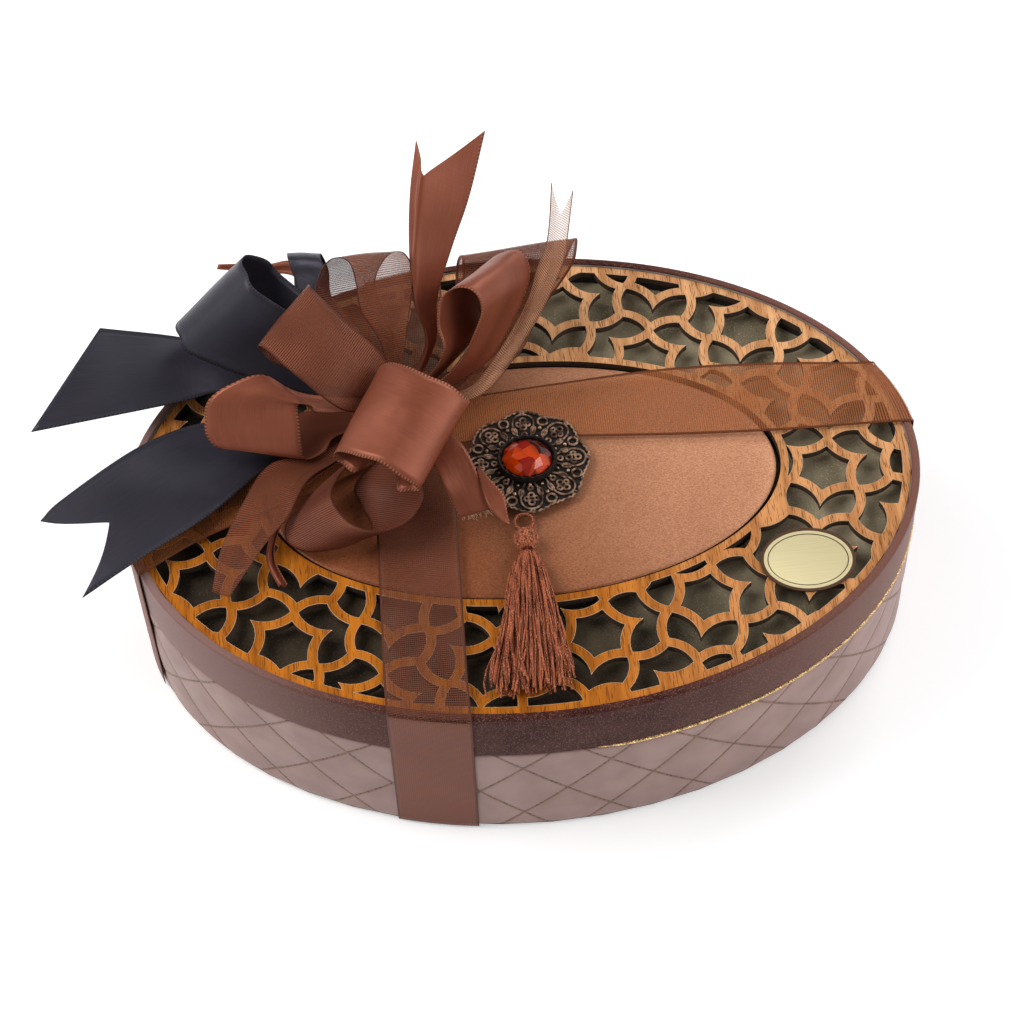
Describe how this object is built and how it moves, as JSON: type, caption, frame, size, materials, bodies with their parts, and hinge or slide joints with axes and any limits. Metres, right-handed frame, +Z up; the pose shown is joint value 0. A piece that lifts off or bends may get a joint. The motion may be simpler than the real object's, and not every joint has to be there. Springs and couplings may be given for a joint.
{
  "type": "chocolate gift box",
  "caption": "Oval covered gift box with a lift-off lid, wood fretwork ring, padded satin centre, wrapped ribbons, bow, brooch and tassel.",
  "frame": {"origin": "centre of the underside of the bottom paper", "axes": "+X along the box's long axis, +Z up through the lid; the tassel lies towards -Y"},
  "size_m": [0.3324, 0.216, 0.1626],
  "materials": {
    "paper": "matte kraft paper",
    "board": "grey board",
    "quilted_cover": "embossed diamond pattern",
    "rim_cover": "fine sparkle",
    "suede": "olive suede with a metallic sheen",
    "wood": "cut veneer",
    "satin": "copper satin",
    "foam": "soft foam",
    "gold_cord": "glitter cord",
    "pad": "soft embossed sheet",
    "label": "gold foil",
    "sheer_ribbon": "sheer organza",
    "brown_ribbon": "satin",
    "black_ribbon": "satin",
    "bronze": "antique dark",
    "stone": "faceted",
    "glue": "clear glue pad",
    "thread": "twisted thread"
  },
  "bodies": {
    "base": {"bottom_paper": "paper", "base_board": "board", "base_wall": "board", "quilted_cover": "quilted_cover", "neck_collar": "board", "floor_lining": "paper", "pad_sheet": "pad", "gold_cord": "gold_cord", "ribbon_tongue_front": "brown_ribbon", "ribbon_tongue_back": "brown_ribbon", "ribbon_tongue_left": "brown_ribbon", "ribbon_tongue_right": "brown_ribbon"},
    "lid": {"lid_top_board": "board", "lid_wall": "board", "rim_cover": "rim_cover", "suede_panel": "suede", "outer_spacer": "board", "inner_spacer": "board", "fretwork_ring": "wood", "centre_board": "board", "centre_foam": "foam", "satin_panel": "satin", "oval_label": "label"},
    "ribbon_wrap": {"ribbon_cross": "sheer_ribbon", "ribbon_long": "sheer_ribbon", "bow_knot": "brown_ribbon", "tail_up": "brown_ribbon", "loop_right": "brown_ribbon", "tail_organza_right": "sheer_ribbon", "loop_organza_right": "sheer_ribbon", "loop_centre": "brown_ribbon", "loop_left": "brown_ribbon", "loop_organza_left": "sheer_ribbon", "loop_organza_top": "sheer_ribbon", "loop_front": "brown_ribbon", "tail_organza_left": "sheer_ribbon", "tail_curl": "brown_ribbon", "tail_right": "brown_ribbon", "tail_brown_back": "brown_ribbon", "loop_black": "black_ribbon", "loop_black_back": "black_ribbon", "tail_black_upper": "black_ribbon", "tail_black_lower": "black_ribbon", "brooch_plate": "bronze", "brooch_bezel": "bronze", "brooch_stone": "stone", "brooch_pad": "glue", "tassel_loop": "thread"},
    "tassel": {"tassel_head": "thread", "tassel_skirt": "thread"}
  },
  "joints": [
    {"name": "lid_lift", "type": "slide", "parent": "base", "child": "lid", "axis": [0, 0, 1], "range_m": [0, 0.06]},
    {"name": "ribbon_lift", "type": "slide", "parent": "lid", "child": "ribbon_wrap", "axis": [0, 0, 1], "range_m": [0, 0.1]},
    {"name": "tassel_swing", "type": "hinge", "parent": "ribbon_wrap", "child": "tassel", "pos_m": [-0.0015, -0.023, 0.0796], "axis": [-1, 0, 0], "range_deg": [0, 75]}
  ]
}
